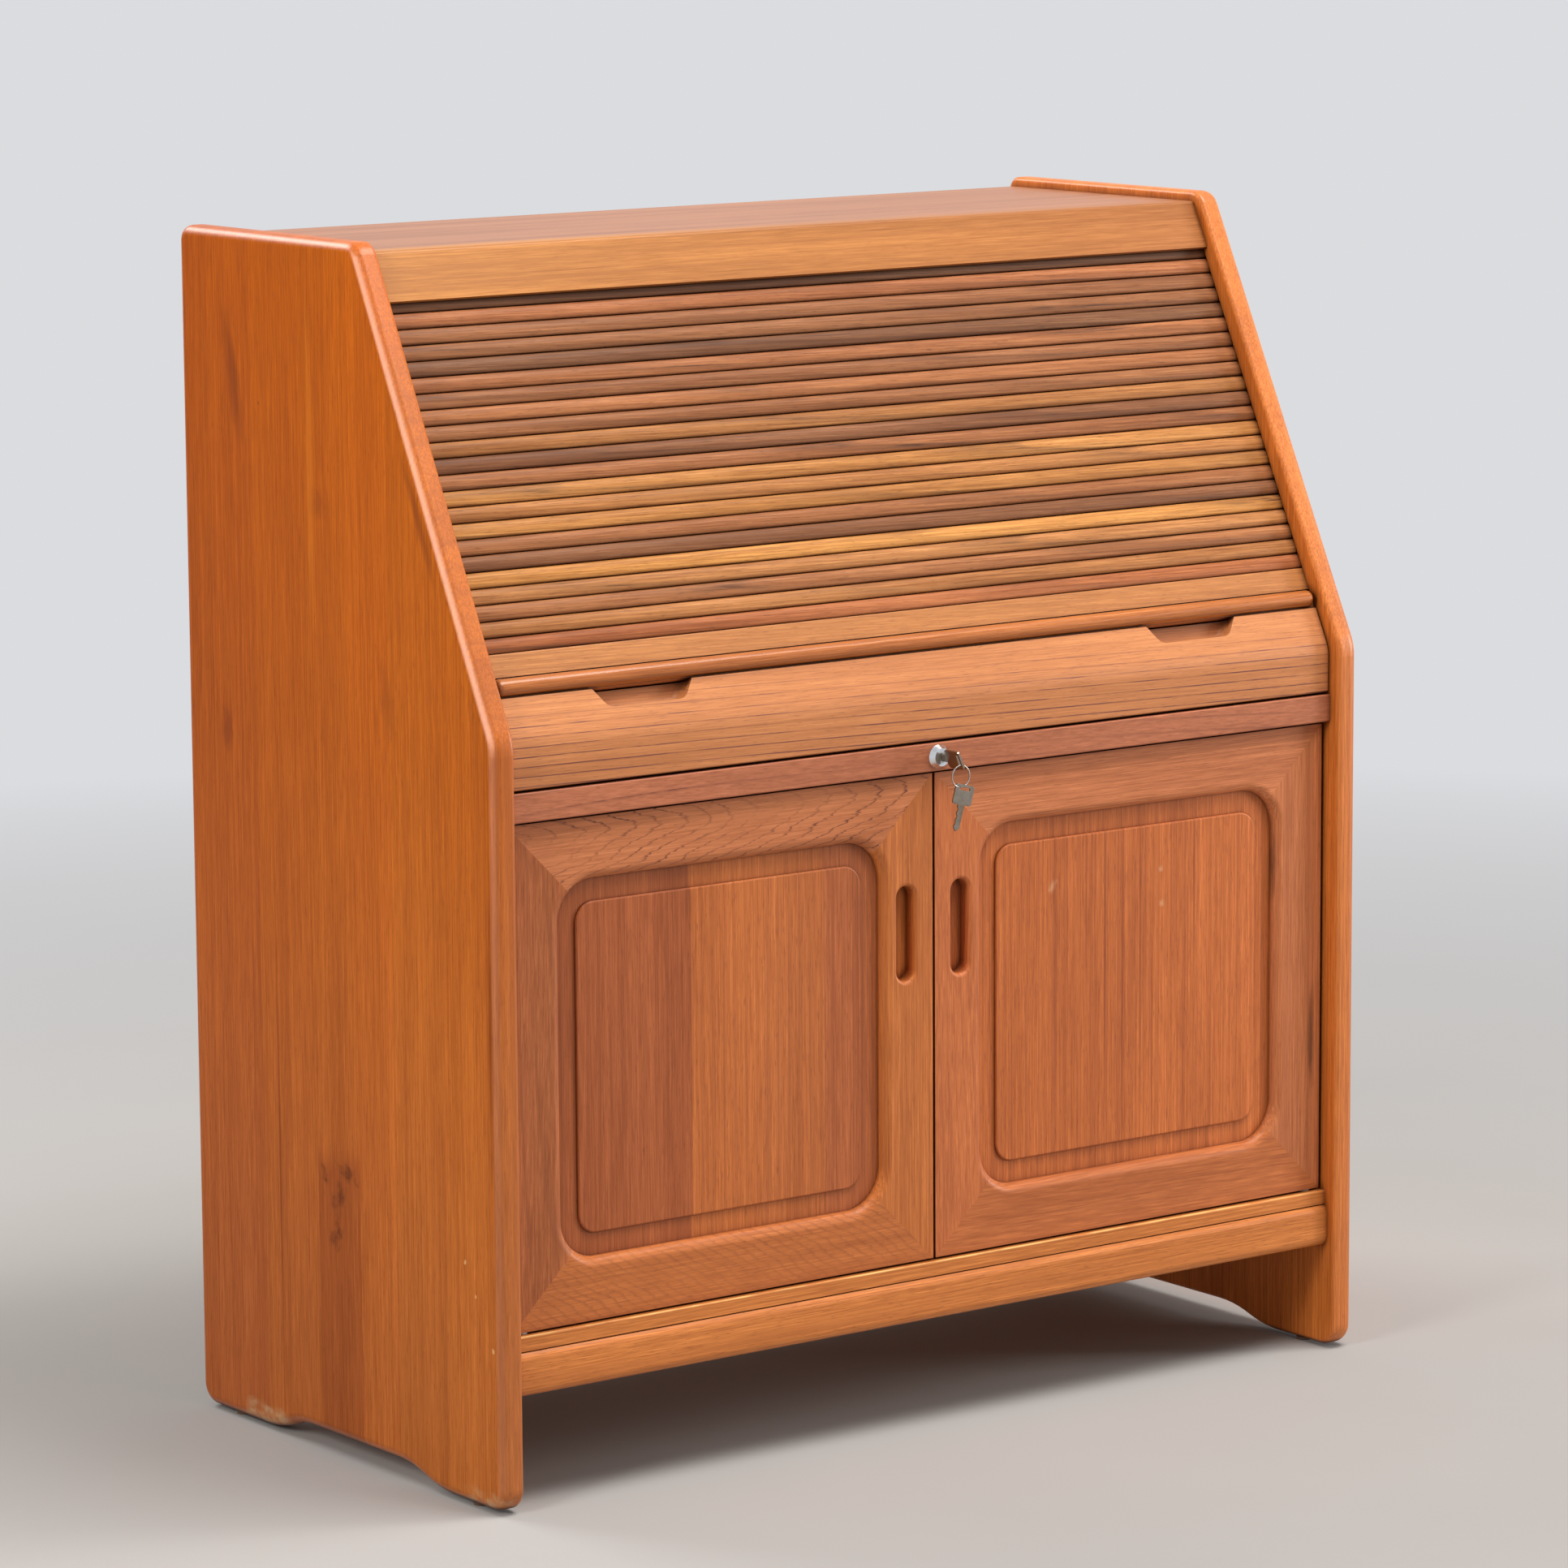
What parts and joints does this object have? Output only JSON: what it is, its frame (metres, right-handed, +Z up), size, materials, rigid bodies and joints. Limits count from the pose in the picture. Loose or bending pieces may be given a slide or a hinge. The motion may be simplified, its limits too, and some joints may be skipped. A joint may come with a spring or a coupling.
{
  "type": "roll-front writing desk",
  "caption": "Teak writing desk with a sloping tambour front, a pull-out writing slide, pigeonholes inside and a lockable cabinet with fielded doors.",
  "frame": {"origin": "on the floor under the middle of the desk's box", "axes": "+Z up, +X to the right of someone facing the front, +Y to the back"},
  "size_m": [1.06, 0.5584, 1.18],
  "materials": {
    "teak_side": "oiled teak, vertical grain",
    "teak_case": "oiled teak, grain along the desk",
    "teak_slats": "oiled teak slats of mixed tone",
    "teak_slide": "oiled teak with dark lines",
    "teak_door": "oiled teak frame and veneered panel",
    "inner_wood": "thin veneered board",
    "beech": "plain hardwood",
    "canvas": "woven canvas",
    "nylon": "plain nylon",
    "steel": "plated steel",
    "chrome": "bright plating"
  },
  "bodies": {
    "case": {"apron": "teak_case", "back_panel": "inner_wood", "cabinet_floor": "teak_case", "cabinet_shelf": "inner_wood", "door_catches": "nylon", "dust_board": "inner_wood", "foot_glides": "nylon", "inner_left_divider": "inner_wood", "inner_lining": "inner_wood", "inner_right_divider": "inner_wood", "left_letter_shelf": "inner_wood", "left_side": "teak_side", "left_slide_runner": "beech", "lock_housing": "chrome", "lock_nut": "steel", "lock_rail": "teak_case", "middle_letter_shelf": "inner_wood", "organiser_deck": "inner_wood", "organiser_top": "inner_wood", "outer_left_divider": "inner_wood", "outer_right_divider": "inner_wood", "pivot_bushes": "nylon", "right_letter_shelf": "inner_wood", "right_side": "teak_side", "right_slide_runner": "beech", "shelf_pins": "steel", "slide_stop_rail": "beech", "top_board": "teak_case", "top_fascia": "teak_case"},
    "tambour": {"tambour_slats": "teak_slats", "tambour_canvas": "canvas", "tambour_lead_rail": "teak_slats", "tambour_bead": "teak_slats"},
    "writing_slide": {"slide_front": "teak_slide", "writing_board": "teak_slide", "slide_cleat": "beech", "lock_strike": "beech"},
    "left_door": {"left_door_bottom_rail": "teak_door", "left_door_catch_plate": "steel", "left_door_hinge_stile": "teak_door", "left_door_meeting_stile": "teak_door", "left_door_panel": "teak_door", "left_door_pivots": "steel", "left_door_top_rail": "teak_door"},
    "right_door": {"right_door_bottom_rail": "teak_door", "right_door_catch_plate": "steel", "right_door_hinge_stile": "teak_door", "right_door_meeting_stile": "teak_door", "right_door_panel": "teak_door", "right_door_pivots": "steel", "right_door_top_rail": "teak_door"},
    "key": {"lock_plug": "chrome", "lock_cam": "steel", "cabinet_key": "chrome"}
  },
  "joints": [
    {"name": "tambour_slide", "type": "slide", "parent": "case", "child": "tambour", "axis": [0, 0.446, 0.895], "range_m": [0, 0.354], "deforming": ["tambour_slats", "tambour_canvas"]},
    {"name": "writing_slide_pull", "type": "slide", "parent": "case", "child": "writing_slide", "axis": [0, -1, 0], "range_m": [0, 0.28]},
    {"name": "left_door_hinge", "type": "hinge", "parent": "case", "child": "left_door", "pos_m": [-0.4865, -0.22575, 0.4], "axis": [0, 0, -1], "range_deg": [0, 100]},
    {"name": "right_door_hinge", "type": "hinge", "parent": "case", "child": "right_door", "pos_m": [0.4865, -0.22575, 0.4], "axis": [0, 0, 1], "range_deg": [0, 100]},
    {"name": "key_turn", "type": "hinge", "parent": "case", "child": "key", "pos_m": [0, -0.24375, 0.668], "axis": [0, -1, 0], "range_deg": [0, 90]}
  ]
}
